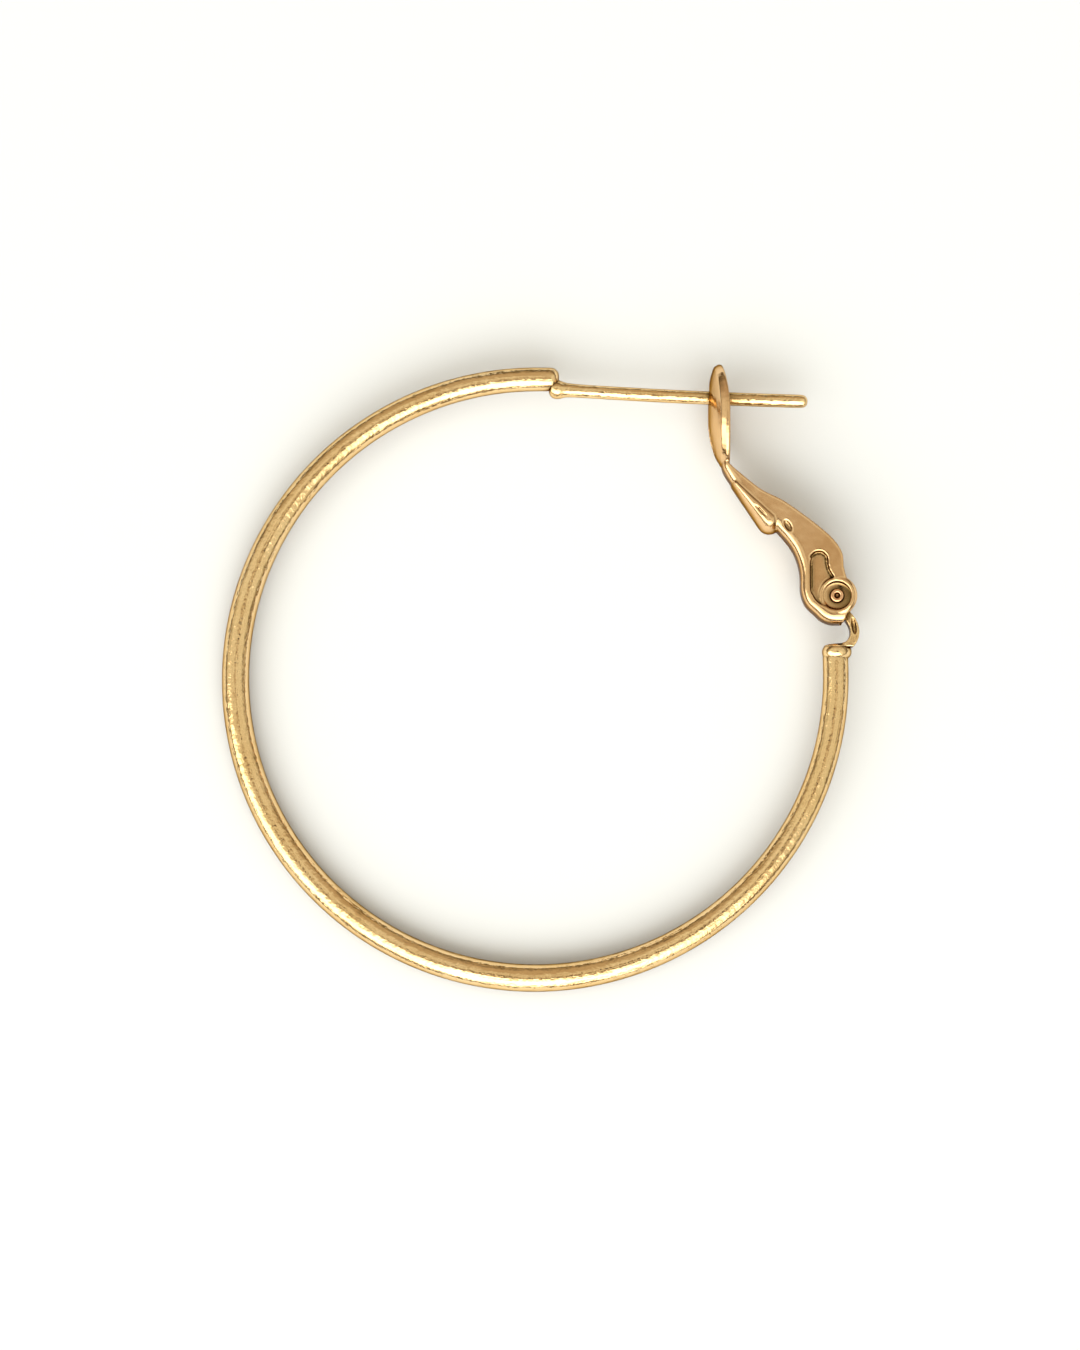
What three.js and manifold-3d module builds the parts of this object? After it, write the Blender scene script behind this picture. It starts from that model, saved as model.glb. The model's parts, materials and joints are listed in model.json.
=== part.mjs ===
// A plain round hoop earring with a straight post and a riveted lever clip.
// It lies on its side: +Z is up, and the origin is under the middle of its outline.
// The hoop's own frame has its centre at the origin and its axis along Z. All lengths are in millimetres.

import * as THREE from 'three';
import { ConvexGeometry } from 'three/addons/geometries/ConvexGeometry.js';
import { mergeVertices } from 'three/addons/utils/BufferGeometryUtils.js';
import Module from 'manifold-3d';

const wasm = await Module();
wasm.setup();

// Hoop tube
const hoopOuterDiameter = 35.1;
const tubeMiddleDiameter = 1.56;
const tubePostEndDiameter = 1.34;
const tubeHingeEndDiameter = 1.46;
const postEndAngle = 86.9;
const thickestAngle = 215;
const tubeEndRounding = 0.5;
const tubeEndLength = 0.45;

// Post and its solder collar
const postDiameter = 0.75;
const postLength = 13.76;
const postInset = 0.5;
const postRootSlope = -4.4;
const postTipSlope = -1.8;
const collarSetback = 0.14;
const collarGrowth = 0.18;

// Cap that closes the hoop's hinge end
const capDiameter = 1.6;
const capThickness = 0.9;
const capRounding = 0.3;
const capOffset = 0.12;
const capSeat = 0.11;

// Hinge strap, eye and rivet
const pivotOutsideHoop = 0.04;
const pivotBelowHoopTop = 12.37;
const hingeEndBelowPivot = 3.405;
const strapThickness = 0.5;
const strapWidth = 1.2;
const strapBow = 0.98;
const eyeWall = 0.42;
const rivetDiameter = 0.6;
const rivetHeadDiameter = 0.76;
const rivetHeadThickness = 0.14;
const rivetPitDiameter = 0.3;
const rivetPitDepth = 0.2;
const runningGap = 0.04;

// Stamped lever
const sheetThickness = 0.36;
const channelGap = 0.18;
const foldRadius = 0.45;
const leverRise = 7.2;
const leverOffset = 6.02;
const bossRadius = 1.12;
const wrapRadius = 1.55;
const heelRadius = 1.99;
const recessDepth = 0.2;
const recessRim = 0.24;
const recessLobeRadius = 0.42;
const embossRadius = 0.7;
const embossTipRadius = 0.24;
const embossStandOut = 0.16;
const embossTipStandOut = 0.1;
const embossInnerTipRadius = 0.08;

// Oval head of the lever
const headHeight = 5.95;
const headWidth = 4.4;
const headDishDepth = 0.92;
const headDishPower = 2.6;
const headRimRounding = 0.12;
const headTopLean = 0.42;
const slotClearance = 0.22;
const slotAboveRest = 0.2;
const slotBelowOpen = 0.4;
const slotOpenAngle = 30;

// Fineness of round stretches
const tubeSides = 16;
const tubeSteps = 84;
const roundSides = 24;
const curveSteps = 28;
const bevelSteps = 3;
const postPieces = 8;
const postTipPieces = 2;
const wrapSteps = 3;
const dishRings = 7;
const recessSteps = 7;
const weldDistance = 1e-4;
const angleSlack = 1;

// What follows from the sizes above
const hoopRadius = (hoopOuterDiameter - tubeMiddleDiameter) / 2;
const pivotFromHoopCentre = hoopRadius + pivotOutsideHoop;
const pivotHeight = hoopRadius - pivotBelowHoopTop;
const hingeEndHeight = pivotHeight - hingeEndBelowPivot;
const hingeEndAngle = 360 + THREE.MathUtils.radToDeg(Math.asin(hingeEndHeight / hoopRadius));
const channelInnerWidth = strapWidth + 2 * channelGap;
const channelWidth = channelInnerWidth + 2 * sheetThickness;
const rivetRadius = rivetDiameter / 2;
const boreRadius = rivetRadius + runningGap;
const eyeRadius = boreRadius + eyeWall;
const pivot = new THREE.Vector3(pivotFromHoopCentre, pivotHeight, 0);
const headMiddle = leverRise + headHeight / 2;

const gold = { color: 0xd9ab62, roughness: 0.22, metalness: 1.0 };

// The web's hoop-side face, from the neck down to the heel: shares of the lever's offset and rise.
const webLine = [
  { across: 1.049, up: 1.0 },
  { across: 0.905, up: 0.812 },
  { across: 0.773, up: 0.701 },
  { across: 0.56, up: 0.528 },
  { across: 0.437, up: 0.41 },
  { across: 0.371, up: 0.308 },
  { across: 0.333, up: 0.186 },
];

// The ears' outer edge, from the neck down to the boss: shares of the lever's offset and rise.
const earLine = [
  { across: 0.952, up: 1.004 },
  { across: 0.7, up: 0.832 },
  { across: 0.486, up: 0.738 },
  { across: 0.224, up: 0.58 },
  { across: 0.037, up: 0.444 },
  { across: -0.052, up: 0.328 },
  { across: -0.062, up: 0.226 },
];

// The hinge strap's middle line, from inside the cap to inside the eye: outwards as shares of its bow,
// upwards as shares of the height from the cap's top to the pivot.
const strapLine = [
  { out: 0.19, up: -0.1 },
  { out: 0.5, up: -0.07 },
  { out: 0.76, up: -0.01 },
  { out: 0.98, up: 0.12 },
  { out: 1.03, up: 0.28 },
  { out: 0.89, up: 0.45 },
  { out: 0.53, up: 0.63 },
  { out: 0.14, up: 0.81 },
];

// Where the stiffening drop begins and where its blunt end is: shares of the lever's offset and rise.
const embossTip = { across: 0.93, up: 0.875 };
const embossBlunt = { across: 0.614, up: 0.588 };

// Directions seen from the pivot, counted from the outer side
const wrapEndAngle = 277;
const wrapStartAngle = 218;
const heelAngle = 172;
const bossStartAngle = 61;
const bossEndAngle = -60;
const recessTopAngle = 88;
const recessHeelAngle = 225;
const recessLobeEndAngle = 18;
const recessLobe = { across: 0.165, up: 0.272 };

function radians(degrees) {
  return THREE.MathUtils.degToRad(degrees);
}

function onCircle(radius, degrees) {
  return new THREE.Vector2(radius * Math.cos(radians(degrees)), radius * Math.sin(radians(degrees)));
}

function solidOf(geometry) {
  const bare = geometry.clone();
  bare.deleteAttribute('normal');
  bare.deleteAttribute('uv');
  const welded = mergeVertices(bare, weldDistance);
  return new wasm.Manifold(new wasm.Mesh({
    numProp: 3,
    vertProperties: Float32Array.from(welded.getAttribute('position').array),
    triVerts: Uint32Array.from(welded.index.array),
  }));
}

function geometryOf(solid) {
  const mesh = solid.getMesh();
  const geometry = new THREE.BufferGeometry();
  geometry.setAttribute('position', new THREE.BufferAttribute(Float32Array.from(mesh.vertProperties), 3));
  geometry.setIndex(new THREE.BufferAttribute(Uint32Array.from(mesh.triVerts), 1));
  geometry.computeVertexNormals();
  return geometry;
}

// A flat outline extruded along Z, equally far to both sides of the hoop's plane.
function plate(points, width, rounding = 0) {
  const geometry = new THREE.ExtrudeGeometry(new THREE.Shape(points), {
    depth: width - 2 * rounding,
    bevelEnabled: rounding > 0,
    bevelThickness: rounding,
    bevelSize: rounding,
    bevelOffset: -rounding,
    bevelSegments: bevelSteps,
    steps: 1,
  });
  geometry.translate(0, 0, rounding - width / 2);
  return geometry;
}

// A turned shape: its profile's first number is the radius, the second the height along the axis.
function turned(profile, sides = roundSides) {
  return new THREE.LatheGeometry(profile.map(([radius, height]) => new THREE.Vector2(radius, height)), sides);
}

// A turned profile's round edge: a quarter circle about its middle, between two directions.
function edgeRound(middleRadius, middleHeight, radius, fromDegrees, toDegrees) {
  const points = [];
  for (let step = 0; step <= bevelSteps; step += 1) {
    const angle = radians(THREE.MathUtils.lerp(fromDegrees, toDegrees, step / bevelSteps));
    points.push([middleRadius + radius * Math.cos(angle), middleHeight + radius * Math.sin(angle)]);
  }
  return points;
}

// A smooth line through the given points, as evenly spaced points.
function smoothLine(points, steps = curveSteps) {
  return new THREE.SplineCurve(points).getSpacedPoints(steps);
}

// The same line moved sideways; a positive distance is to the left of its direction.
function sideways(points, distance) {
  return points.map((point, index) => {
    const before = points[Math.max(index - 1, 0)];
    const after = points[Math.min(index + 1, points.length - 1)];
    const along = after.clone().sub(before).normalize();
    return new THREE.Vector2(point.x - along.y * distance, point.y + along.x * distance);
  });
}

function arcPoints(radius, fromDegrees, toDegrees, steps) {
  const points = [];
  for (let step = 0; step <= steps; step += 1) {
    points.push(onCircle(radius, THREE.MathUtils.lerp(fromDegrees, toDegrees, step / steps)));
  }
  return points;
}

class HoopArc extends THREE.Curve {
  getPoint(share, target = new THREE.Vector3()) {
    const angle = radians(THREE.MathUtils.lerp(postEndAngle, hingeEndAngle, share));
    return target.set(hoopRadius * Math.cos(angle), hoopRadius * Math.sin(angle), 0);
  }
}

// The tube's radius is largest at its middle and eases to both ends.
function tubeRadiusAt(degrees) {
  const nearPost = degrees < thickestAngle;
  const reach = nearPost ? thickestAngle - postEndAngle : hingeEndAngle - thickestAngle;
  const endDiameter = nearPost ? tubePostEndDiameter : tubeHingeEndDiameter;
  const share = Math.min(Math.abs(degrees - thickestAngle) / reach, 1);
  const ease = 0.5 + 0.5 * Math.cos(Math.PI * share);
  return THREE.MathUtils.lerp(endDiameter, tubeMiddleDiameter, ease) / 2;
}

// Every ring of a constant tube is drawn in to the radius at its angle.
function hoopTube() {
  const circle = new THREE.Shape(arcPoints(tubeMiddleDiameter / 2, 0, 360, tubeSides).slice(0, -1));
  const tube = new THREE.ExtrudeGeometry(circle, {
    steps: tubeSteps,
    extrudePath: new HoopArc(),
  });
  const position = tube.getAttribute('position');
  const vertex = new THREE.Vector3();
  for (let index = 0; index < position.count; index += 1) {
    vertex.fromBufferAttribute(position, index);
    let degrees = THREE.MathUtils.radToDeg(Math.atan2(vertex.y, vertex.x));
    while (degrees < postEndAngle - angleSlack) {
      degrees += 360;
    }
    const middle = new THREE.Vector3(vertex.x, vertex.y, 0).setLength(hoopRadius);
    const scale = tubeRadiusAt(degrees) / (tubeMiddleDiameter / 2);
    vertex.sub(middle).multiplyScalar(scale).add(middle);
    position.setXYZ(index, vertex.x, vertex.y, vertex.z);
  }
  return solidOf(tube);
}

// Turns a shape made along Y so that it points the given way in the hoop's plane, and moves it there.
function placed(geometry, x, y, degrees) {
  geometry.rotateZ(radians(degrees - 90));
  geometry.translate(x, y, 0);
  return geometry;
}

function hoopEndPlace(degrees) {
  return onCircle(hoopRadius, degrees);
}

// The post end of the tube: a short straight stretch that closes with a flat face and a round edge.
function postEnd() {
  const radius = tubePostEndDiameter / 2;
  const profile = [
    [0, -tubeEndLength / 2],
    [radius, -tubeEndLength / 2],
    ...edgeRound(radius - tubeEndRounding, tubeEndLength - tubeEndRounding, tubeEndRounding, 0, 90),
    [0, tubeEndLength],
  ];
  const place = hoopEndPlace(postEndAngle);
  return solidOf(placed(turned(profile), place.x, place.y, postEndAngle - 90));
}

// The post's middle line starts inside the tube's end and bends very slightly outwards.
function postLine() {
  const outward = onCircle(1, postEndAngle);
  const along = new THREE.Vector2(outward.y, -outward.x);
  const start = hoopEndPlace(postEndAngle)
    .addScaledVector(outward, -postInset)
    .addScaledVector(along, tubeEndLength - collarSetback);
  const points = [start.clone()];
  const pieceLength = postLength / postPieces;
  for (let piece = 0; piece < postPieces; piece += 1) {
    const share = (piece + 0.5) / postPieces;
    const slope = radians(THREE.MathUtils.lerp(postRootSlope, postTipSlope, share));
    start.x += pieceLength * Math.cos(slope);
    start.y += pieceLength * Math.sin(slope);
    points.push(start.clone());
  }
  return points;
}

function wireAlong(points, radius, steps) {
  const path = new THREE.CatmullRomCurve3(points.map((point) => new THREE.Vector3(point.x, point.y, 0)));
  const circle = new THREE.Shape(arcPoints(radius, 0, 360, tubeSides).slice(0, -1));
  return solidOf(new THREE.ExtrudeGeometry(circle, { steps, extrudePath: path }));
}

function ball(x, y, radius) {
  const sphere = new THREE.SphereGeometry(radius, tubeSides, tubeSides / 2);
  sphere.rotateZ(Math.PI / 2);
  sphere.translate(x, y, 0);
  return solidOf(sphere);
}

// The post's tip is half round. Its root sits in a small bead of solder.
function post() {
  const points = postLine();
  const tip = points[points.length - 1];
  const root = points[0];
  const radius = postDiameter / 2;
  return wireAlong(points, radius, 2 * points.length)
    .add(ball(tip.x, tip.y, radius))
    .add(ball(root.x, root.y, radius + collarGrowth));
}

// The cap: a thick disc with round edges, a little outside the tube's own middle.
function hingeCap() {
  const radius = capDiameter / 2;
  const profile = [
    [0, 0],
    ...edgeRound(radius - capRounding, capRounding, capRounding, -90, 0),
    ...edgeRound(radius - capRounding, capThickness - capRounding, capRounding, 0, 90),
    [0, capThickness],
  ];
  const place = hoopEndPlace(hingeEndAngle);
  return solidOf(placed(turned(profile), place.x + capOffset, place.y - capSeat, hingeEndAngle - 270));
}

// The strap bows outwards from the cap's outer edge and leans back in to the eye.
function hingeStrap() {
  const place = hoopEndPlace(hingeEndAngle);
  const capTop = place.y - capSeat + capThickness;
  const middle = smoothLine(strapLine.map(({ out, up }) => new THREE.Vector2(
    pivot.x + out * strapBow,
    THREE.MathUtils.lerp(capTop, pivot.y, up),
  )), curveSteps / 2);
  const left = sideways(middle, strapThickness / 2);
  const right = sideways(middle, -strapThickness / 2);
  const eye = new THREE.CylinderGeometry(eyeRadius, eyeRadius, strapWidth, roundSides);
  eye.rotateX(Math.PI / 2);
  eye.translate(pivot.x, pivot.y, 0);
  const bore = new THREE.CylinderGeometry(boreRadius, boreRadius, 2 * strapWidth, roundSides);
  bore.rotateX(Math.PI / 2);
  bore.translate(pivot.x, pivot.y, 0);
  return solidOf(plate([...left, ...right.reverse()], strapWidth))
    .add(solidOf(eye))
    .subtract(solidOf(bore));
}

function hoopWithPost() {
  return hoopTube().add(postEnd()).add(post()).add(hingeCap()).add(hingeStrap());
}

// Everything of the lever is drawn about the pivot.
function leverPoint({ across, up }) {
  return new THREE.Vector2(-across * leverOffset, up * leverRise);
}

// The web's hoop-side face from inside the head, past the neck and heel, to its end under the rivet.
function webFace() {
  const insideHead = leverPoint(webLine[0]).add(new THREE.Vector2(sheetThickness / 3, 2 * sheetThickness));
  return smoothLine([
    insideHead,
    ...webLine.map(leverPoint),
    onCircle(heelRadius, heelAngle),
    onCircle((heelRadius + wrapRadius) / 2, (heelAngle + wrapStartAngle) / 2),
    ...arcPoints(wrapRadius, wrapStartAngle, wrapEndAngle, wrapSteps),
  ], 3 * curveSteps);
}

// The ears' outer edge from the neck to the boss, then round the boss.
function earEdge() {
  const upper = smoothLine([...earLine.map(leverPoint), onCircle(bossRadius, bossStartAngle)]);
  return [...upper, ...arcPoints(bossRadius, bossStartAngle, bossEndAngle, curveSteps / 2).slice(1)];
}

// Corners that close such a line well outside the lever. The line's top end turns off at a slant, so that
// the rounding doesn't fold over itself there.
function farOutside(points) {
  const last = points[points.length - 1];
  const first = points[0];
  const far = 2 * leverOffset;
  return [
    new THREE.Vector2(far, last.y - channelGap),
    new THREE.Vector2(far, first.y + wrapRadius),
    new THREE.Vector2(first.x + wrapRadius, first.y + wrapRadius),
  ];
}

// Web and ears: a block whose hoop side is rounded as a fold, trimmed to the side outline and hollowed.
function channel() {
  const face = webFace();
  const block = plate([...face, ...farOutside(face)], channelWidth, foldRadius);
  const trimLine = [...sideways(face, -sheetThickness), ...earEdge().reverse()];
  const trim = plate(trimLine, 2 * channelWidth);
  const inner = [...sideways(face, sheetThickness), onCircle(2 * wrapRadius, wrapEndAngle)];
  const hollow = plate([...inner, ...farOutside(inner)], channelInnerWidth);
  return { sheet: solidOf(block).intersect(solidOf(trim)), hollow: solidOf(hollow) };
}

// The points of a ball stretched across the lever's width.
function stretchedBall(place, radius, halfWidth) {
  const position = new THREE.SphereGeometry(radius, roundSides, roundSides / 2).getAttribute('position');
  const points = [];
  for (let index = 0; index < position.count; index += 1) {
    const point = new THREE.Vector3().fromBufferAttribute(position, index);
    points.push(new THREE.Vector3(point.x + place.x, point.y + place.y, (point.z * halfWidth) / radius));
  }
  return points;
}

// A drop with a blunt round end: its middle line lies on the web's face, and it stands out past both ears.
function embossDrop(shrink) {
  const tipRadius = Math.max(embossTipRadius - shrink, embossInnerTipRadius);
  const halfWidth = channelWidth / 2 - shrink;
  return solidOf(new ConvexGeometry([
    ...stretchedBall(leverPoint(embossTip), tipRadius, halfWidth + embossTipStandOut),
    ...stretchedBall(leverPoint(embossBlunt), embossRadius - shrink, halfWidth + embossStandOut),
  ]));
}

// The head's rim leans towards the ear at its top.
function headLean(height) {
  const share = THREE.MathUtils.clamp((height - headMiddle) / (headHeight / 2), 0, 1);
  return -headTopLean * share * share;
}

function headDishAt(share) {
  return -headDishDepth * (1 - share ** headDishPower);
}

// The head: a shallow cup turned about its middle, then stretched to an oval and leaned.
function head() {
  const near = [];
  const far = [];
  const rimShare = 1 - (2 * headRimRounding) / headWidth;
  for (let ring = 0; ring <= dishRings; ring += 1) {
    const share = (rimShare * ring) / dishRings;
    const slope = (2 * headDishPower * headDishDepth * share ** (headDishPower - 1)) / headWidth;
    const halfWall = (sheetThickness / 2) * Math.hypot(1, slope);
    const middle = headDishAt(share);
    near.push([share, middle - halfWall]);
    far.push([share, middle + halfWall]);
  }
  const rimEdge = [-1, 1].map((side) => [1, headDishAt(1) + (side * sheetThickness) / 4]);
  const cup = turned([...near, ...rimEdge, ...far.reverse()], 2 * roundSides);
  const position = cup.getAttribute('position');
  for (let index = 0; index < position.count; index += 1) {
    const height = headMiddle + (headHeight / 2) * position.getZ(index);
    const depth = position.getY(index) + headLean(height) - leverOffset;
    position.setXYZ(index, depth, height, (headWidth / 2) * position.getX(index));
  }
  return solidOf(cup);
}

// The post's middle line as the lever sees it when it is open by an angle.
function postSeenFromLever(degrees) {
  const line = postLine().map((point) => point.clone().sub(new THREE.Vector2(pivot.x, pivot.y)));
  return line.map((point) => point.rotateAround(new THREE.Vector2(), radians(degrees)));
}

// How high the post's last stretch is where it passes through the head.
function heightAtHead(points) {
  const to = points[points.length - 1];
  const from = points[points.length - 1 - postTipPieces];
  const share = (-leverOffset - headDishDepth / 2 - from.x) / (to.x - from.x);
  return from.y + share * (to.y - from.y);
}

function raised(points, height) {
  return points.map((point) => new THREE.Vector2(point.x, point.y + height));
}

// The slot holds the post from its place at rest down to where its tip leaves the head.
function postSlot() {
  const halfWidth = postDiameter / 2 + slotClearance;
  const top = heightAtHead(postSeenFromLever(0)) + slotAboveRest;
  const bottom = heightAtHead(postSeenFromLever(slotOpenAngle)) - slotBelowOpen;
  const outline = [
    ...raised(arcPoints(halfWidth, 0, 180, curveSteps / 2), top),
    ...raised(arcPoints(halfWidth, 180, 360, curveSteps / 2), bottom),
  ];
  const cutter = plate(outline, 2 * headWidth);
  cutter.rotateY(Math.PI / 2);
  cutter.translate(-leverOffset, 0, 0);
  return solidOf(cutter);
}

// The recess in an ear: round the rivet, with a lobe towards the head, and out to the folded edge.
function earRecess() {
  const roundRadius = bossRadius - recessRim;
  const lobe = leverPoint(recessLobe);
  const heel = onCircle(heelRadius - foldRadius - recessRim / 2, heelAngle);
  const shape = new THREE.Shape();
  shape.moveTo(heel.x, heel.y);
  shape.lineTo(lobe.x - recessLobeRadius, lobe.y);
  shape.absarc(lobe.x, lobe.y, recessLobeRadius, Math.PI, radians(recessLobeEndAngle), true);
  const bossTop = onCircle(roundRadius, recessTopAngle);
  shape.quadraticCurveTo(lobe.x + recessLobeRadius, bossTop.y + recessRim, bossTop.x, bossTop.y);
  shape.absarc(0, 0, roundRadius, radians(recessTopAngle), radians(recessHeelAngle - 360), true);
  const bulge = onCircle((heelRadius + wrapRadius) / 2 - foldRadius, (heelAngle + recessHeelAngle) / 2);
  shape.quadraticCurveTo(bulge.x, bulge.y, heel.x, heel.y);
  const points = shape.getPoints(recessSteps).slice(0, -1);
  const cut = plate(points, recessDepth * 2);
  const both = [1, -1].map((side) => cut.clone().translate(0, 0, side * (channelWidth / 2)));
  return solidOf(both[0]).add(solidOf(both[1]));
}

function clipLever() {
  const bore = new THREE.CylinderGeometry(boreRadius, boreRadius, 2 * channelWidth, roundSides);
  bore.rotateX(Math.PI / 2);
  const { sheet, hollow } = channel();
  return sheet
    .add(embossDrop(0))
    .subtract(hollow)
    .subtract(embossDrop(sheetThickness))
    .add(head())
    .subtract(postSlot())
    .subtract(earRecess())
    .subtract(solidOf(bore));
}

// The rivet: a plain shank with a low head at each end and a small pit in each head.
function hingeRivet() {
  const seat = channelWidth / 2 - recessDepth + runningGap;
  const top = seat + rivetHeadThickness;
  const headRadius = rivetHeadDiameter / 2;
  const edge = rivetHeadThickness / 2;
  const pit = rivetPitDiameter / 2;
  const upper = [
    [rivetRadius, 0],
    [rivetRadius, seat],
    [headRadius, seat],
    ...edgeRound(headRadius - edge, top - edge, edge, 0, 90),
    [pit, top],
    [pit / 2, top - rivetPitDepth],
    [0, top - rivetPitDepth],
  ];
  const lower = upper.slice(1).reverse().map(([radius, height]) => [radius, -height]);
  const rivet = turned([...lower, ...upper]);
  rivet.rotateX(Math.PI / 2);
  return solidOf(rivet);
}

function pieceMesh(name, solid) {
  const mesh = new THREE.Mesh(geometryOf(solid), new THREE.MeshStandardMaterial(gold));
  mesh.name = name;
  return mesh;
}

// Lying on its side, the earring rests on the lever's head and on the tube opposite it.
function restTilt() {
  const headPlace = new THREE.Vector2(pivot.x - leverOffset, pivot.y + headMiddle);
  const direction = headPlace.clone().normalize();
  const drop = headWidth / 2 - tubeMiddleDiameter / 2;
  const angle = Math.asin(drop / (hoopRadius + headPlace.length()));
  return { axis: new THREE.Vector3(direction.y, -direction.x, 0), angle };
}

const lever = new THREE.Group();
lever.position.copy(pivot);
lever.add(pieceMesh('clip_lever', clipLever()), pieceMesh('hinge_rivet', hingeRivet()));

const earring = new THREE.Group();
earring.add(pieceMesh('hoop_with_post', hoopWithPost()), lever);
const tilt = restTilt();
earring.quaternion.setFromAxisAngle(tilt.axis, tilt.angle);

const group = new THREE.Group();
group.add(earring);
group.updateMatrixWorld(true);
const box = new THREE.Box3().setFromObject(group, true);
const middle = box.getCenter(new THREE.Vector3());
earring.position.set(-middle.x, -middle.y, -box.min.z);

export default group;
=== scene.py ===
# A plain gold-plated hoop earring with a riveted lever clip, lying on a pale floor.

import json
import math

import bpy
from mathutils import Matrix, Vector


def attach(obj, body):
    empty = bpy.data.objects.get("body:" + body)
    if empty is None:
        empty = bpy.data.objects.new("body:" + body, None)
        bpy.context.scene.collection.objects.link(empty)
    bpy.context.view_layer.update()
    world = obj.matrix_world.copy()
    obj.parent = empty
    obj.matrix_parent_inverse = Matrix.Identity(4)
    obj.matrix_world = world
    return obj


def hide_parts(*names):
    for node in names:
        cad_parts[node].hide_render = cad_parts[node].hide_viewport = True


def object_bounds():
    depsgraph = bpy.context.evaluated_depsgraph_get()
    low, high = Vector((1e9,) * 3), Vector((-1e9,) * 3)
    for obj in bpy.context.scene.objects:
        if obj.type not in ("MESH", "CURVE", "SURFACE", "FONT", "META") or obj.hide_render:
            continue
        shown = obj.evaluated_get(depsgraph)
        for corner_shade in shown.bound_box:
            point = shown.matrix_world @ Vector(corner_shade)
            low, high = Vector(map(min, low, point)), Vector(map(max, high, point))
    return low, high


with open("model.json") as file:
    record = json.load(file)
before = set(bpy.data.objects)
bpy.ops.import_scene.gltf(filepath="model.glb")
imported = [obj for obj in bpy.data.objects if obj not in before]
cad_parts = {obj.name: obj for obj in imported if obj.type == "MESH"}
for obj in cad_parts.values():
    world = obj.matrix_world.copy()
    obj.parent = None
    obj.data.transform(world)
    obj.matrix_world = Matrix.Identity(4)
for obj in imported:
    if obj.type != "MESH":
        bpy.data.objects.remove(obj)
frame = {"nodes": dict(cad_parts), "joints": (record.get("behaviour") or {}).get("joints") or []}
cad_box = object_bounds()

# Sizes below are in millimetres, in the hoop's own frame: centre at the origin, axis along Z.
MILLIMETRE = 0.001

# Hoop tube
TUBE_MIDDLE_RADIUS = 0.78
TUBE_POST_END_RADIUS = 0.67
TUBE_HINGE_END_RADIUS = 0.71
HOOP_RADIUS = 16.77
POST_END_ANGLE = math.radians(86.9)
HINGE_END_ANGLE = math.radians(363.4)
THICKEST_ANGLE = math.radians(215)
TUBE_END_LENGTH = 0.45
TUBE_END_ROUNDING = 0.5
TUBE_RINGS = 52
TUBE_OVERRUN = math.radians(1.2)
ROUNDING_RINGS = 4

# Post and its solder collar
POST_RADIUS = 0.375
POST_INSET = 0.5
POST_SETBACK = 0.14
POST_LENGTH = 13.76
POST_ROOT_SLOPE = math.radians(-4.4)
POST_TIP_SLOPE = math.radians(-1.8)
POST_RINGS = 16
POST_TIP_ROUNDING = 0.9

# How far along the post each ring of the solder collar is, and its radius
COLLAR = [
    {"along": -0.42, "radius": 0.3},
    {"along": -0.24, "radius": 0.5},
    {"along": 0.0, "radius": 0.555},
    {"along": 0.22, "radius": 0.52},
    {"along": 0.42, "radius": 0.44},
    {"along": 0.66, "radius": 0.39},
]

# Cap on the hinge end
CAP_RADIUS = 0.82
CAP_THICKNESS = 0.9
CAP_ROUNDING = 0.42
CAP_OFFSET = 0.12
CAP_SEAT = 0.11
CAP_SIDES = 48
CAP_BEVEL_SEGMENTS = 6

# Hinge strap, lever and rivet
PIVOT = Vector((16.81, 4.4, 0.0))
STRAP_CUT = Vector((15.4, 1.6, 0.0))
STRAP_VOXEL = 0.035
LEVER_VOXEL = 0.05
SMOOTHING_SHARE = 0.5
STRAP_SMOOTHING = 18
LEVER_SMOOTHING = 7
RIVET_RADIUS = 0.3
RIVET_SEAT = 0.98
RIVET_SIDES = 32
RIVET_END_SHARE = 0.9

# How far each ring of a rivet's head is above its seat, and its radius
RIVET_HEAD = [
    {"rise": 0.0, "radius": 0.35},
    {"rise": 0.07, "radius": 0.38},
    {"rise": 0.12, "radius": 0.34},
    {"rise": 0.14, "radius": 0.27},
    {"rise": 0.13, "radius": 0.17},
    {"rise": 0.02, "radius": 0.13},
    {"rise": -0.06, "radius": 0.07},
]

# The small dent in each ear above its recess, the shallow dish round each rivet head, the crease in
# the stiffening drop and the hollow that rolling leaves in each side of the strap
DENT = {"middle": Vector((14.1, 8.3, 1.2)), "size": (0.4, 0.2, 0.24), "turn": math.radians(-62)}
DISH = {"middle": Vector((16.81, 4.4, 0.96)), "size": (0.78, 0.78, 0.07), "turn": 0.0}
CREASE = {"middle": Vector((12.62, 9.12, 1.31)), "size": (0.62, 0.09, 0.17), "turn": math.radians(-47.5)}
STRAP_HOLLOW = {"middle": Vector((17.76, 2.75, 0.62)), "size": (0.14, 0.5, 0.17), "turn": math.radians(8)}

# The sharp foot of the recess's wall, as short stretches: the middle of each from the pivot, half its
# length and its turn
GROOVE_HEIGHT = 1.04
GROOVE_HALF_WIDTH = 0.1
GROOVE_HALF_DEPTH = 0.16
GROOVE = [
    {"place": (-1.41, 0.75), "reach": 0.7, "turn": math.radians(90)},
    {"place": (-1.41, 1.35), "reach": 0.75, "turn": math.radians(90)},
    {"place": (-1.24, 2.3), "reach": 0.32, "turn": math.radians(36)},
    {"place": (-0.99, 2.38), "reach": 0.34, "turn": 0.0},
    {"place": (-0.75, 2.3), "reach": 0.32, "turn": math.radians(-36)},
    {"place": (-0.6, 2.05), "reach": 0.24, "turn": math.radians(-84)},
    {"place": (-0.584, 1.84), "reach": 0.32, "turn": math.radians(-87)},
    {"place": (-0.535, 1.58), "reach": 0.3, "turn": math.radians(-76)},
    {"place": (-0.435, 1.31), "reach": 0.3, "turn": math.radians(-63)},
    {"place": (-0.32, 1.13), "reach": 0.22, "turn": math.radians(-50)},
]

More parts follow.
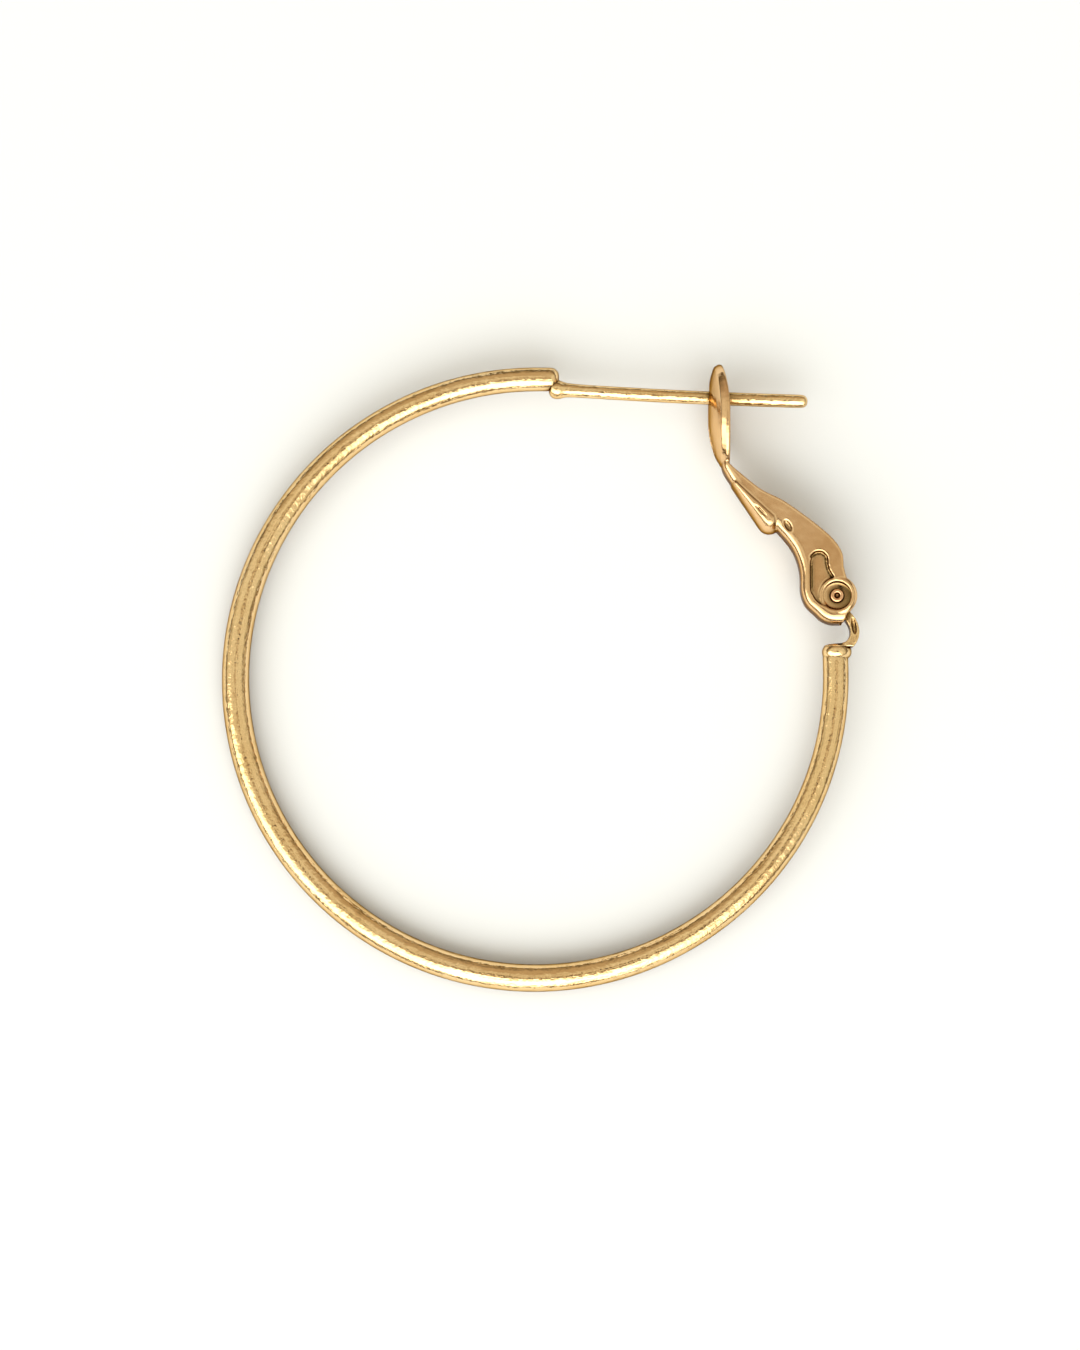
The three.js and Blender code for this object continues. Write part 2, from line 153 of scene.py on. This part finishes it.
# The bead round each boss: its radius and thickness, how far it is from the hoop's plane, and how much
# it sinks into the recess on the side towards the hoop
BEAD_RADIUS = 0.9
BEAD_THICKNESS = 0.28
BEAD_HEIGHT = 1.02
BEAD_LEAN = math.radians(8.5)

PUNCH_SIDES = 48
RING_SIDES = 12
SMOOTH_LEVELS = 2
WELD_DISTANCE = 0.001
SMOOTH_ANGLE = math.radians(40)

# Picture: its height and the earring's width in it in pixels, the lens and its sensor in millimetres
IMAGE_HEIGHT = 1350
SHOWN_WIDTH = 640
LENS = 85.0
SENSOR = 36.0
CAMERA_ELEVATION = math.radians(83.7)
CLIP_FACTOR = 100

# Floor and light, in metres
FLOOR_SIZE = 3.0
FLOOR_TONE = (0.87, 0.905, 0.96, 1.0)
FLOOR_ROUGHNESS = 0.6
KEY_PLACE = Vector((-0.06, -0.3, 0.26))
KEY_SIZE = 0.4
KEY_POWER = 0.22
KEY_TONE = (1.0, 0.97, 0.92)
WINDOW_DIRECTION = Vector((0.0, -0.788, 0.616))
WINDOW_REACH = math.radians(15)
WINDOW_EDGE = math.radians(27)
WINDOW_TONE = (3.2, 3.15, 2.9, 1.0)
SIDE_DIRECTION = Vector((-0.72, -0.41, 0.55))
SIDE_REACH = math.radians(13)
SIDE_EDGE = math.radians(14)
SIDE_TONE = (3.0, 2.95, 2.7, 1.0)
CEILING_TONE = (0.92, 0.92, 0.8, 1.0)
FOLD_SIZE = 0.12
FOLD_DETAIL = 2.0
FOLD_LEVELS = (0.4, 0.58)
FOLD_TONE = 0.32
ROOM_TONE = (0.55, 0.45, 0.32, 1.0)
HORIZON_TONE = (0.11, 0.085, 0.05, 1.0)

# Where the pale ceiling begins and is full, by height and by place on the far side, and where the
# walls are full above the dark horizon
CEILING_HEIGHTS = (0.9995, 0.965)
CEILING_SIDES = (0.56, 0.36)
WALL_HEIGHTS = (0.1, 0.55)
LENS_FRONT_DISTANCE = 0.3
LENS_FRONT_RADIUS = 0.03
LENS_FRONT_SIDES = 48
LENS_FRONT_TONE = (0.01, 0.01, 0.01, 1.0)
LENS_FRONT_ROUGHNESS = 0.9

# Finishes: sizes in millimetres; details, levels and shares are bare numbers
MARK_WIDTH = 0.14
MARK_LENGTH = 5.0
MARK_DEPTH = 0.02
MARK_DETAIL = 2.0
GRAIN_SIZE = 0.26
GRAIN_DETAIL = 2.0
WAVE_DETAIL = 1.5
PATCH_SHARE = 3.0
PATCH_DETAIL = 3.0
PATCH_LEVELS = (0.35, 0.68)
SMEAR_SHARE = 0.45
SMEAR_DETAIL = 4.0
SMEAR_LEVELS = (0.3, 0.7)
POLISH_SHARES = (0.7, 1.5)

# How open to the room a spot is where the painted shade in a corner or the wider painted shade is full and
# where it ends
CORNER_SHADE_REACH = 0.36
CORNER_SHADE_SAMPLES = 12
CORNER_SHADE_OPENNESS = (0.62, 0.98)
SHADE_REACH = 2.2
SHADE_SAMPLES = 8
SHADE_OPENNESS = (0.55, 0.9)
SHADE_STRENGTH = 0.95

EDGE_TINT = (0.2, 0.12, 0.06, 1.0)
# The shade and corner colours of each finish are painted shade, mixed into the base colour where the metal
# sees little of the room.
WIRE_FINISH = {
    "light": (0.95, 0.69, 0.37, 1.0), "deep": (0.88, 0.6, 0.28, 1.0),
    "shade": (0.3, 0.17, 0.05, 1.0), "corner_shade": (0.2, 0.11, 0.025, 1.0),
    "roughness": 0.12, "wave_size": 1.3, "wave_depth": 0.06, "grain_depth": 0.034,
}
POST_FINISH = {**WIRE_FINISH, "wave_size": 0.7, "wave_depth": 0.05, "grain_depth": 0.034}
SHEET_FINISH = {
    "light": (0.93, 0.64, 0.36, 1.0), "deep": (0.8, 0.51, 0.25, 1.0),
    "shade": (0.45, 0.26, 0.08, 1.0), "corner_shade": (0.1, 0.06, 0.014, 1.0),
    "roughness": 0.15, "wave_size": 0.9, "wave_depth": 0.035, "grain_depth": 0.003,
}
RIVET_FINISH = {
    "light": (0.97, 0.64, 0.38, 1.0), "deep": (0.9, 0.52, 0.28, 1.0),
    "shade": (0.7, 0.4, 0.2, 1.0), "corner_shade": (0.2, 0.1, 0.04, 1.0),
    "roughness": 0.16, "wave_size": 0.4, "wave_depth": 0.02, "grain_depth": 0.001,
}


# A smooth line through corners that are a step apart on a circle lies inside them; this is by how much.
def ring_growth(step_angle):
    return 3.0 / (2.0 + math.cos(step_angle))


def mix(first, second, share):
    return first + (second - first) * share


# The hoop's frame in the row frame: its axis is the hinge's, and the pivot is at its known place.
def hoop_frame():
    joint = frame["joints"][0]
    axis = -Vector(joint["axis"])
    turn = Vector((0.0, 0.0, 1.0)).rotation_difference(axis).to_matrix().to_4x4()
    centre = Vector(joint["pos_m"]) - turn @ (PIVOT * MILLIMETRE)
    return Matrix.Translation(centre) @ turn @ Matrix.Scale(MILLIMETRE, 4)


def select_only(piece):
    bpy.ops.object.select_all(action="DESELECT")
    piece.select_set(True)
    bpy.context.view_layer.objects.active = piece


def edit_all():
    bpy.ops.object.mode_set(mode="EDIT")
    bpy.ops.mesh.select_all(action="SELECT")


def leave_edit():
    bpy.ops.object.mode_set(mode="OBJECT")


def apply_modifier(piece, kind, **settings):
    select_only(piece)
    modifier = piece.modifiers.new(kind.title(), kind)
    for name, value in settings.items():
        setattr(modifier, name, value)
    bpy.ops.object.modifier_apply(modifier=modifier.name)


def fresh_primitive(name):
    piece = bpy.context.object
    piece.name = name
    bpy.ops.object.transform_apply(location=True, rotation=True, scale=True)
    return piece


# A filled ring to extrude a round bar from.
def start_ring(name, radius, middle, rotation):
    bpy.ops.object.select_all(action="DESELECT")
    bpy.ops.mesh.primitive_circle_add(
        vertices=RING_SIDES, radius=radius * ring_growth(2.0 * math.pi / RING_SIDES), fill_type="NGON",
        location=middle, rotation=rotation)
    piece = fresh_primitive(name)
    edit_all()
    return piece


def next_ring(move, growth, middle):
    bpy.ops.mesh.extrude_region_move(TRANSFORM_OT_translate={"value": move})
    bpy.ops.transform.resize(value=(growth, growth, growth), center_override=middle)


def close_bar(piece):
    bpy.ops.mesh.select_all(action="SELECT")
    bpy.ops.mesh.normals_make_consistent(inside=False)
    leave_edit()
    apply_modifier(piece, "SUBSURF", levels=SMOOTH_LEVELS, render_levels=SMOOTH_LEVELS)
    bpy.ops.object.shade_smooth()


# Moves a finished piece from the bench to its place, hangs it on the body it rides on and hides the CAD
# part that it stands for.
def install(piece, body, node, finish):
    piece.data.transform(hoop_place)
    piece.data.materials.clear()
    piece.data.materials.append(finish)
    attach(piece, body)
    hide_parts(node)


def hoop_point(angle, radius=HOOP_RADIUS):
    return Vector((radius * math.cos(angle), radius * math.sin(angle), 0.0))


def tube_radius(angle):
    near_post = angle < THICKEST_ANGLE
    reach = THICKEST_ANGLE - POST_END_ANGLE if near_post else HINGE_END_ANGLE - THICKEST_ANGLE
    end_radius = TUBE_POST_END_RADIUS if near_post else TUBE_HINGE_END_RADIUS
    ease = 0.5 + 0.5 * math.cos(math.pi * abs(angle - THICKEST_ANGLE) / reach)
    return mix(end_radius, TUBE_MIDDLE_RADIUS, ease)


# The round end of a bar: how far each ring is from the bar's tip, and its radius.
def rounded_end(radius, rounding):
    rings = []
    for step in range(ROUNDING_RINGS):
        angle = 0.5 * math.pi * step / ROUNDING_RINGS
        rings.append((rounding * (1.0 - math.cos(angle)), radius - rounding * (1.0 - math.sin(angle))))
    return rings


# The tapered tube is drawn ring by ring round the hoop, from its rounded post end to the cap.
def tapered_hoop():
    step_angle = (HINGE_END_ANGLE - POST_END_ANGLE) / TUBE_RINGS
    radius = HOOP_RADIUS * ring_growth(step_angle)
    root = hoop_point(POST_END_ANGLE, radius)
    forward = Vector((math.sin(POST_END_ANGLE), -math.cos(POST_END_ANGLE), 0.0))
    rings = rounded_end(TUBE_POST_END_RADIUS, TUBE_END_ROUNDING) + [(TUBE_END_LENGTH, TUBE_POST_END_RADIUS)]
    place = root + forward * TUBE_END_LENGTH
    piece = start_ring("tapered_hoop", rings[0][1], place, (math.pi / 2, 0.0, POST_END_ANGLE))
    for before, after in zip(rings, rings[1:]):
        move = forward * (before[0] - after[0])
        place = place + move
        next_ring(move, after[1] / before[1], place)
    angles = [POST_END_ANGLE + step * step_angle for step in range(TUBE_RINGS + 1)]
    angles.append(HINGE_END_ANGLE + TUBE_OVERRUN)
    for before, after in zip(angles, angles[1:]):
        bpy.ops.mesh.extrude_region_move(TRANSFORM_OT_translate={"value": (0.0, 0.0, 0.0)})
        bpy.ops.transform.rotate(value=before - after, orient_axis="Z", center_override=(0.0, 0.0, 0.0))
        growth = tube_radius(after) / tube_radius(before)
        bpy.ops.transform.resize(value=(growth, growth, growth), center_override=hoop_point(after, radius))
    close_bar(piece)
    return piece


# The post grows out of its solder collar, bends very slightly outwards and ends half round.
def ear_post():
    outward = hoop_point(POST_END_ANGLE, 1.0)
    forward = Vector((outward.y, -outward.x, 0.0))
    root = hoop_point(POST_END_ANGLE, HOOP_RADIUS - POST_INSET) + forward * (TUBE_END_LENGTH - POST_SETBACK)
    rings = [(ring["along"], ring["radius"]) for ring in COLLAR]
    collar_end = rings[-1][0]
    straight = POST_LENGTH - collar_end
    rings += [(collar_end + straight * step / POST_RINGS, POST_RADIUS) for step in range(1, POST_RINGS + 1)]
    tip = POST_LENGTH + POST_RADIUS
    post_tip = rounded_end(POST_RADIUS, POST_TIP_ROUNDING * POST_RADIUS)
    rings += [(tip - back, radius) for back, radius in reversed(post_tip)]
    place = root + Vector((rings[0][0], 0.0, 0.0))
    piece = start_ring("ear_post", rings[0][1], place, (0.0, math.pi / 2, 0.0))
    for before, after in zip(rings, rings[1:]):
        slope = mix(POST_ROOT_SLOPE, POST_TIP_SLOPE, max(after[0], 0.0) / tip)
        move = Vector((math.cos(slope), math.sin(slope), 0.0)) * (after[0] - before[0])
        place = place + move
        next_ring(move, after[1] / before[1], place)
    close_bar(piece)
    return piece


# The cap is a thick disc with round edges.
def hinge_cap():
    along = Vector((-math.sin(HINGE_END_ANGLE), math.cos(HINGE_END_ANGLE), 0.0))
    foot = hoop_point(HINGE_END_ANGLE) + Vector((CAP_OFFSET, -CAP_SEAT, 0.0))
    bpy.ops.object.select_all(action="DESELECT")
    bpy.ops.mesh.primitive_cylinder_add(
        vertices=CAP_SIDES, radius=CAP_RADIUS, depth=CAP_THICKNESS,
        location=foot + along * (CAP_THICKNESS / 2), rotation=(math.pi / 2, 0.0, HINGE_END_ANGLE))
    piece = fresh_primitive("hinge_cap")
    apply_modifier(piece, "BEVEL", width=CAP_ROUNDING, segments=CAP_BEVEL_SEGMENTS, limit_method="ANGLE")
    bpy.ops.object.shade_smooth_by_angle(angle=SMOOTH_ANGLE)
    return piece


# A merged copy of a node's mesh, on the bench.
def bench_copy(node, name):
    piece = bpy.data.objects.new(name, frame["nodes"][node].data.copy())
    bpy.context.scene.collection.objects.link(piece)
    piece.data.transform(hoop_place.inverted())
    select_only(piece)
    edit_all()
    bpy.ops.mesh.remove_doubles(threshold=WELD_DISTANCE)
    leave_edit()
    return piece


def soften(piece, voxel, rounds):
    apply_modifier(piece, "REMESH", mode="VOXEL", voxel_size=voxel)
    apply_modifier(piece, "SMOOTH", factor=SMOOTHING_SHARE, iterations=rounds)
    bpy.ops.object.shade_smooth()


# The strap and its rolled eye, cut off above the cap and softened.
def hinge_strap():
    piece = bench_copy("hoop_with_post", "hinge_strap")
    for normal in ((1.0, 0.0, 0.0), (0.0, 1.0, 0.0)):
        edit_all()
        bpy.ops.mesh.bisect(plane_co=STRAP_CUT, plane_no=normal, use_fill=True, clear_inner=True)
        leave_edit()
    press(piece, STRAP_HOLLOW)
    soften(piece, STRAP_VOXEL, STRAP_SMOOTHING)
    return piece


# A hollow pressed alike into both sides of the lever.
def press(piece, hollow):
    for side in (1.0, -1.0):
        middle = hollow["middle"].copy()
        middle.z *= side
        bpy.ops.object.select_all(action="DESELECT")
        bpy.ops.mesh.primitive_uv_sphere_add(
            segments=PUNCH_SIDES, ring_count=PUNCH_SIDES // 2, radius=1.0, location=middle,
            rotation=(0.0, 0.0, hollow["turn"]), scale=hollow["size"])
        punch = fresh_primitive("punch")
        apply_modifier(piece, "BOOLEAN", operation="DIFFERENCE", object=punch, solver="EXACT")
        bpy.data.objects.remove(punch)


# The round bead that the stamping leaves round the rivet, on both sides.
def raise_bead(piece):
    for side in (1.0, -1.0):
        bpy.ops.object.select_all(action="DESELECT")
        bpy.ops.mesh.primitive_torus_add(
            major_radius=BEAD_RADIUS, minor_radius=BEAD_THICKNESS / 2, major_segments=PUNCH_SIDES,
            minor_segments=RING_SIDES, location=PIVOT + Vector((0.0, 0.0, side * BEAD_HEIGHT)),
            rotation=(0.0, -side * BEAD_LEAN, 0.0))
        bead = fresh_primitive("bead")
        apply_modifier(piece, "BOOLEAN", operation="UNION", object=bead, solver="EXACT")
        bpy.data.objects.remove(bead)


# The stamped lever: one folded sheet with its head, emboss and ears, softened as stamping leaves it.
def stamped_lever():
    piece = bench_copy("clip_lever", "stamped_lever")
    press(piece, DENT)
    press(piece, DISH)
    press(piece, CREASE)
    for stretch in GROOVE:
        middle = PIVOT + Vector((*stretch["place"], GROOVE_HEIGHT))
        size = (stretch["reach"], GROOVE_HALF_WIDTH, GROOVE_HALF_DEPTH)
        press(piece, {"middle": middle, "size": size, "turn": stretch["turn"]})
    raise_bead(piece)
    soften(piece, LEVER_VOXEL, LEVER_SMOOTHING)
    return piece


# The rivet's two heads are drawn out of the ends of a plain shank, each with a pit in its middle.
def lever_rivet():
    bpy.ops.object.select_all(action="DESELECT")
    bpy.ops.mesh.primitive_cylinder_add(
        vertices=RIVET_SIDES, radius=RIVET_RADIUS, depth=2 * RIVET_SEAT, end_fill_type="NGON",
        location=PIVOT)
    piece = fresh_primitive("lever_rivet")
    for side in (1.0, -1.0):
        bpy.ops.object.mode_set(mode="EDIT")
        bpy.ops.mesh.select_all(action="DESELECT")
        bpy.ops.mesh.select_mode(type="FACE")
        leave_edit()
        for face in piece.data.polygons:
            points_out = face.normal.z * side > RIVET_END_SHARE
            face.select = points_out and face.center.z * side > RIVET_END_SHARE * RIVET_SEAT
        bpy.ops.object.mode_set(mode="EDIT")
        rings = [{"rise": 0.0, "radius": RIVET_RADIUS}] + RIVET_HEAD
        for before, after in zip(rings, rings[1:]):
            rise = side * (after["rise"] - before["rise"])
            height = side * (RIVET_SEAT + after["rise"])
            growth = after["radius"] / before["radius"]
            next_ring((0.0, 0.0, rise), growth, PIVOT + Vector((0.0, 0.0, height)))
        leave_edit()
    apply_modifier(piece, "SUBSURF", levels=SMOOTH_LEVELS, render_levels=SMOOTH_LEVELS)
    bpy.ops.object.shade_smooth()
    return piece


class Nodes:
    """A node tree, with short ways to add nodes and link them."""

    def __init__(self, tree):
        self.tree = tree

    def link(self, source, node, socket):
        self.tree.links.new(source, node.inputs[socket])

    def add(self, kind, links=(), **values):
        node = self.tree.nodes.new(kind)
        for name, value in values.items():
            if name in node.inputs:
                node.inputs[name].default_value = value
            else:
                setattr(node, name, value)
        for socket, source in dict(links).items():
            self.link(source, node, socket)
        return node

    def noise(self, vector, size, detail):
        return self.add("ShaderNodeTexNoise", {"Vector": vector}, Scale=1.0 / (size * MILLIMETRE),
                        Detail=detail).outputs["Fac"]

    def maths(self, operation, first, second=None):
        node = self.add("ShaderNodeMath", operation=operation)
        for socket, value in enumerate((first, second)):
            if isinstance(value, (int, float)):
                node.inputs[socket].default_value = value
            elif value is not None:
                self.link(value, node, socket)
        return node.outputs["Value"]

    def ranged(self, value, low, high, to_low, to_high):
        node = self.add("ShaderNodeMapRange", {"Value": value})
        ends = {"From Min": low, "From Max": high, "To Min": to_low, "To Max": to_high}
        for socket, number in ends.items():
            node.inputs[socket].default_value = number
        return node.outputs["Result"]

    # A mix of two colours; the first may be another mix.
    def blend(self, factor, first, second):
        node = self.add("ShaderNodeMix", data_type="RGBA")
        colours = [socket for socket in node.inputs if socket.type == "RGBA"]
        self.tree.links.new(factor, node.inputs[0])
        if isinstance(first, tuple):
            colours[0].default_value = first
        else:
            self.tree.links.new(first, colours[0])
        colours[1].default_value = second
        return [socket for socket in node.outputs if socket.type == "RGBA"][0]

    # A round spot in one direction of the world, full up to its reach and fading over its edge.
    def soft_spot(self, direction, middle, reach, edge):
        facing = self.add("ShaderNodeVectorMath", operation="DOT_PRODUCT")
        self.link(direction, facing, 0)
        facing.inputs[1].default_value = middle.normalized()
        return self.ranged(facing.outputs["Value"], math.cos(reach + edge), math.cos(reach), 0.0, 1.0)

    # How much of the room a spot sees past the metal within the given reach.
    def openness(self, reach, samples):
        return self.add("ShaderNodeAmbientOcclusion", Distance=reach * MILLIMETRE,
                        samples=samples).outputs["AO"]

    def bump(self, height, depth, normal=None):
        node = self.add("ShaderNodeBump", {"Height": height}, Strength=1.0, Distance=depth * MILLIMETRE)
        if normal is not None:
            self.link(normal, node, "Normal")
        return node.outputs["Normal"]


# Object coordinates turned into the hoop's own frame.
def hoop_coordinates(nodes):
    place = nodes.add("ShaderNodeTexCoord").outputs["Object"]
    mapping = nodes.add("ShaderNodeMapping", {"Vector": place}, vector_type="TEXTURE")
    mapping.inputs["Location"].default_value = hoop_place.translation
    mapping.inputs["Rotation"].default_value = hoop_place.to_euler()
    return mapping.outputs["Vector"]


# Fine drawing marks that run along the bent wire: they change fast across it and slowly along it.
def wire_marks(nodes, place):
    split = nodes.add("ShaderNodeSeparateXYZ", {"Vector": place})
    across = 1.0 / (MARK_WIDTH * MILLIMETRE)
    along = 1.0 / (MARK_LENGTH * MILLIMETRE)
    x, y, z = (split.outputs[axis] for axis in "XYZ")
    squares = nodes.maths("ADD", nodes.maths("MULTIPLY", x, x), nodes.maths("MULTIPLY", y, y))
    radial = nodes.maths("SQRT", squares)
    stretched = nodes.add("ShaderNodeCombineXYZ", {
        "X": nodes.maths("MULTIPLY", x, along),
        "Y": nodes.maths("MULTIPLY", y, along),
        "Z": nodes.maths("MULTIPLY", z, across),
    })
    marks = nodes.add("ShaderNodeTexNoise", {"Vector": stretched.outputs["Vector"]},
                      noise_dimensions="4D", Scale=1.0, Detail=MARK_DETAIL)
    nodes.link(nodes.maths("MULTIPLY", radial, across), marks, "W")
    return marks.outputs["Fac"]


# The same marks along the straight post.
def post_marks(nodes, place):
    stretch = nodes.add("ShaderNodeMapping", {"Vector": place})
    stretch.inputs["Scale"].default_value = (MARK_WIDTH / MARK_LENGTH, 1.0, 1.0)
    return nodes.noise(stretch.outputs["Vector"], MARK_WIDTH, MARK_DETAIL)


# Polished plating over metal: patches of deeper tone, painted shade that darkens the base colour on sides
# turned from the room and in tight corners, an uneven polish, and the faint waves and grain that hand
# polishing leaves.
def plating(name, finish, marks=None):
    material = bpy.data.materials.new(name)
    material.use_nodes = True
    nodes = Nodes(material.node_tree)
    shader = material.node_tree.nodes["Principled BSDF"]
    place = hoop_coordinates(nodes)
    wave_size = finish["wave_size"]
    patches = nodes.noise(place, PATCH_SHARE * wave_size, PATCH_DETAIL)
    patches = nodes.ranged(patches, *PATCH_LEVELS, 0.0, 1.0)
    tone = nodes.blend(patches, finish["light"], finish["deep"])
    # Painted shade in corners: the base colour turns to the finish's dark corner colour where little of the
    # room is seen close by.
    openness = nodes.openness(CORNER_SHADE_REACH, CORNER_SHADE_SAMPLES)
    corner_shade_share = nodes.ranged(openness, *CORNER_SHADE_OPENNESS, 1.0, 0.0)
    # Painted shade over a wider reach: sides turned towards the floor or other parts darken towards the
    # finish's shade colour.
    openness = nodes.openness(SHADE_REACH, SHADE_SAMPLES)
    painted_shade_share = nodes.ranged(openness, *SHADE_OPENNESS, SHADE_STRENGTH, 0.0)
    tone = nodes.blend(painted_shade_share, tone, finish["shade"])
    nodes.link(nodes.blend(corner_shade_share, tone, finish["corner_shade"]), shader, "Base Color")
    smear = nodes.noise(place, SMEAR_SHARE * wave_size, SMEAR_DETAIL)
    smooth, dull = (finish["roughness"] * share for share in POLISH_SHARES)
    polish = nodes.ranged(smear, *SMEAR_LEVELS, smooth, dull)
    nodes.link(polish, shader, "Roughness")
    normal = nodes.bump(nodes.noise(place, wave_size, WAVE_DETAIL), finish["wave_depth"])
    normal = nodes.bump(nodes.noise(place, GRAIN_SIZE, GRAIN_DETAIL), finish["grain_depth"], normal)
    if marks is not None:
        normal = nodes.bump(marks(nodes, place), MARK_DEPTH, normal)
    nodes.link(normal, shader, "Normal")
    shader.inputs["Metallic"].default_value = 1.0
    shader.inputs["Specular Tint"].default_value = EDGE_TINT
    return material


def plain_material(name, tone, roughness):
    material = bpy.data.materials.new(name)
    material.use_nodes = True
    shader = material.node_tree.nodes["Principled BSDF"]
    shader.inputs["Base Color"].default_value = tone
    shader.inputs["Roughness"].default_value = roughness
    return material


def pale_floor():
    bpy.ops.object.select_all(action="DESELECT")
    bpy.ops.mesh.primitive_plane_add(size=FLOOR_SIZE, location=(0.0, 0.0, 0.0))
    floor = bpy.context.object
    floor.name = "pale_floor"
    floor.data.materials.append(plain_material("pale_floor", FLOOR_TONE, FLOOR_ROUGHNESS))


def key_light():
    light = bpy.data.lights.new("key_light", "AREA")
    light.shape = "DISK"
    light.size = KEY_SIZE
    light.energy = KEY_POWER
    light.color = KEY_TONE
    lamp = bpy.data.objects.new("key_light", light)
    bpy.context.scene.collection.objects.link(lamp)
    lamp.location = KEY_PLACE
    lamp.rotation_mode = "QUATERNION"
    lamp.rotation_quaternion = (-KEY_PLACE).to_track_quat("-Z", "Y")


# A mid-toned room under a pale draped ceiling, darker towards the horizon, with one broad soft window on
# the viewer's side and a smaller one to its left.
def soft_room():
    world = bpy.data.worlds.new("soft_room")
    world.use_nodes = True
    nodes = Nodes(world.node_tree)
    direction = nodes.add("ShaderNodeTexCoord").outputs["Generated"]
    side_glow = nodes.soft_spot(direction, SIDE_DIRECTION, SIDE_REACH, SIDE_EDGE)
    split = nodes.add("ShaderNodeSeparateXYZ", {"Vector": direction})
    walls = nodes.ranged(split.outputs["Z"], *WALL_HEIGHTS, 0.0, 1.0)
    glow = nodes.soft_spot(direction, WINDOW_DIRECTION, WINDOW_REACH, WINDOW_EDGE)
    glow = nodes.maths("MULTIPLY", glow, walls)
    lowered = nodes.ranged(split.outputs["Z"], *CEILING_HEIGHTS, 0.0, 1.0)
    near = nodes.ranged(split.outputs["Y"], *CEILING_SIDES, 0.0, 1.0)
    ceiling = nodes.maths("MULTIPLY", nodes.maths("MULTIPLY", lowered, near), walls)
    folds = nodes.add("ShaderNodeTexNoise", {"Vector": direction}, Scale=1.0 / FOLD_SIZE,
                      Detail=FOLD_DETAIL)
    folds = nodes.ranged(folds.outputs["Fac"], *FOLD_LEVELS, FOLD_TONE, 1.0)
    ceiling = nodes.maths("MULTIPLY", ceiling, folds)
    room = nodes.blend(walls, HORIZON_TONE, ROOM_TONE)
    room = nodes.blend(ceiling, room, CEILING_TONE)
    room = nodes.blend(side_glow, room, SIDE_TONE)
    background = world.node_tree.nodes["Background"]
    nodes.link(nodes.blend(glow, room, WINDOW_TONE), background, "Color")
    bpy.context.scene.world = world


# The dark front of the picture-taking gear, which polished faces turned straight to it reflect.
def dark_lens_front(camera, target):
    away = (camera.location - target).normalized()
    place = target + away * LENS_FRONT_DISTANCE
    bpy.ops.object.select_all(action="DESELECT")
    bpy.ops.mesh.primitive_circle_add(
        vertices=LENS_FRONT_SIDES, radius=LENS_FRONT_RADIUS, fill_type="NGON", location=place)
    front = bpy.context.object
    front.name = "dark_lens_front"
    front.rotation_mode = "QUATERNION"
    front.rotation_quaternion = away.to_track_quat("Z", "Y")
    front.data.materials.append(plain_material("matt_black", LENS_FRONT_TONE, LENS_FRONT_ROUGHNESS))


def photo_camera(target, width):
    camera = bpy.data.objects.new("photo_camera", bpy.data.cameras.new("photo_camera"))
    bpy.context.scene.collection.objects.link(camera)
    camera.data.lens = LENS
    camera.data.sensor_width = SENSOR
    shown_height = width * IMAGE_HEIGHT / SHOWN_WIDTH
    distance = shown_height * LENS / SENSOR
    back = Vector((0.0, -math.cos(CAMERA_ELEVATION), math.sin(CAMERA_ELEVATION)))
    camera.location = target + back * distance
    camera.rotation_mode = "QUATERNION"
    camera.rotation_quaternion = (-back).to_track_quat("-Z", "Y")
    camera.data.clip_start = distance / CLIP_FACTOR
    camera.data.clip_end = distance * CLIP_FACTOR
    bpy.context.scene.camera = camera
    return camera


hoop_place = hoop_frame()
lowest, highest = cad_box
middle = (lowest + highest) / 2
camera = photo_camera(middle, highest.x - lowest.x)
pale_floor()
key_light()
soft_room()
dark_lens_front(camera, middle)
bpy.context.scene.view_settings.view_transform = "Standard"

hoop_finish = plating("hoop_plating", WIRE_FINISH, wire_marks)
post_finish = plating("post_plating", POST_FINISH, post_marks)
cap_finish = plating("cap_plating", WIRE_FINISH)
lever_finish = plating("lever_plating", SHEET_FINISH)
rivet_finish = plating("rivet_plating", RIVET_FINISH)

install(tapered_hoop(), "hoop", "hoop_with_post", hoop_finish)
install(ear_post(), "hoop", "hoop_with_post", post_finish)
install(hinge_cap(), "hoop", "hoop_with_post", cap_finish)
install(hinge_strap(), "hoop", "hoop_with_post", cap_finish)
install(stamped_lever(), "lever", "clip_lever", lever_finish)
install(lever_rivet(), "lever", "hinge_rivet", rivet_finish)
